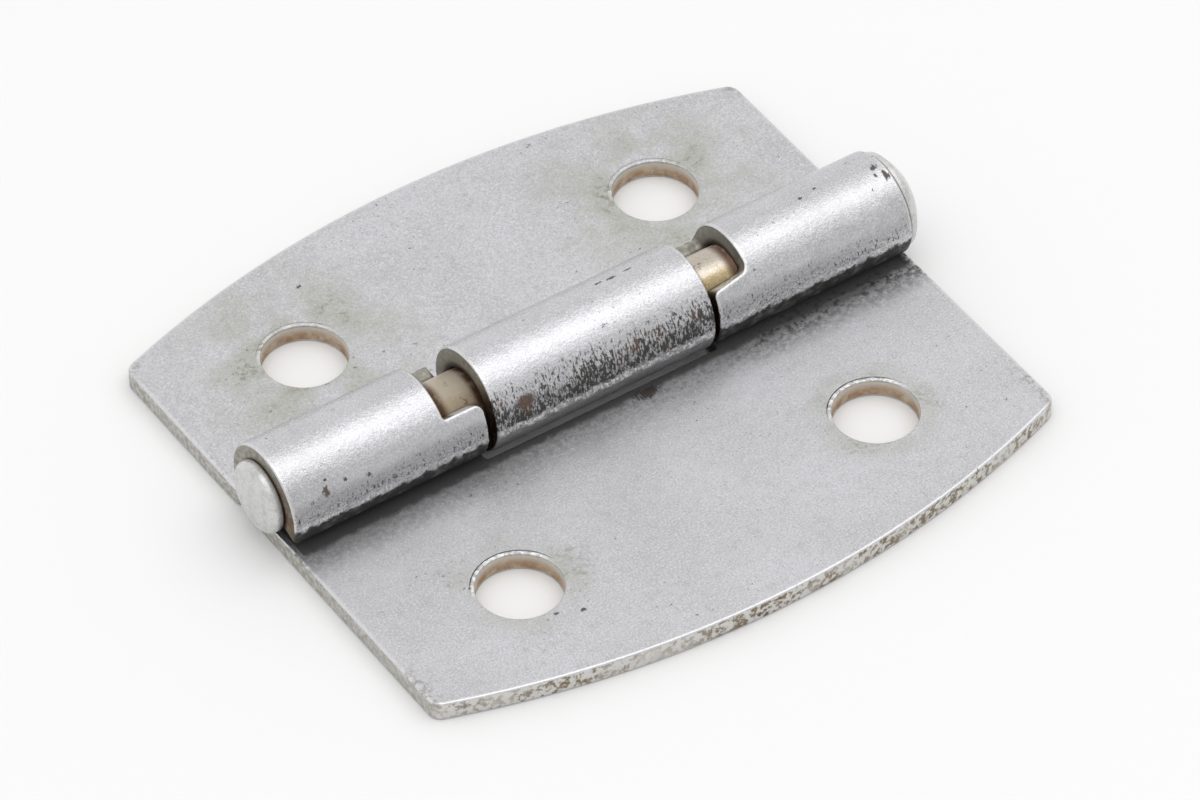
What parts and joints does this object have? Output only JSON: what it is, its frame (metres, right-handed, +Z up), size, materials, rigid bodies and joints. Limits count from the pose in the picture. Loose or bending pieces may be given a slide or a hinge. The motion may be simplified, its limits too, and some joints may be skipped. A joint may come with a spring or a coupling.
{
  "type": "butt hinge",
  "caption": "Small sheet-steel butt hinge, open flat: a leaf with outer knuckles and a leaf with a centre knuckle, both with curved outer edges and plain screw holes, on a headed pin.",
  "frame": {"origin": "on the plane of both leaves' back faces, directly under the pin axis, midway along the leaves' length", "axes": "+X along the pin, towards its domed head; +Y towards the leaf with one knuckle; +Z up, from the leaves' backs to their knuckle side"},
  "size_m": [0.0538, 0.0476, 0.0078],
  "materials": {
    "leaf_plate": "worn satin plating with fine pits and light rust staining",
    "pin_steel": "plated steel, tan and stained between the knuckles"
  },
  "bodies": {
    "fixed_side": {"two_knuckle_leaf": "leaf_plate", "hinge_pin": "pin_steel"},
    "swinging_side": {"single_knuckle_leaf": "leaf_plate"}
  },
  "joints": [
    {"name": "hinge_joint", "type": "hinge", "parent": "fixed_side", "child": "swinging_side", "pos_m": [0, 0, 0.0039], "axis": [1, 0, 0], "range_deg": [-75, 190]}
  ]
}
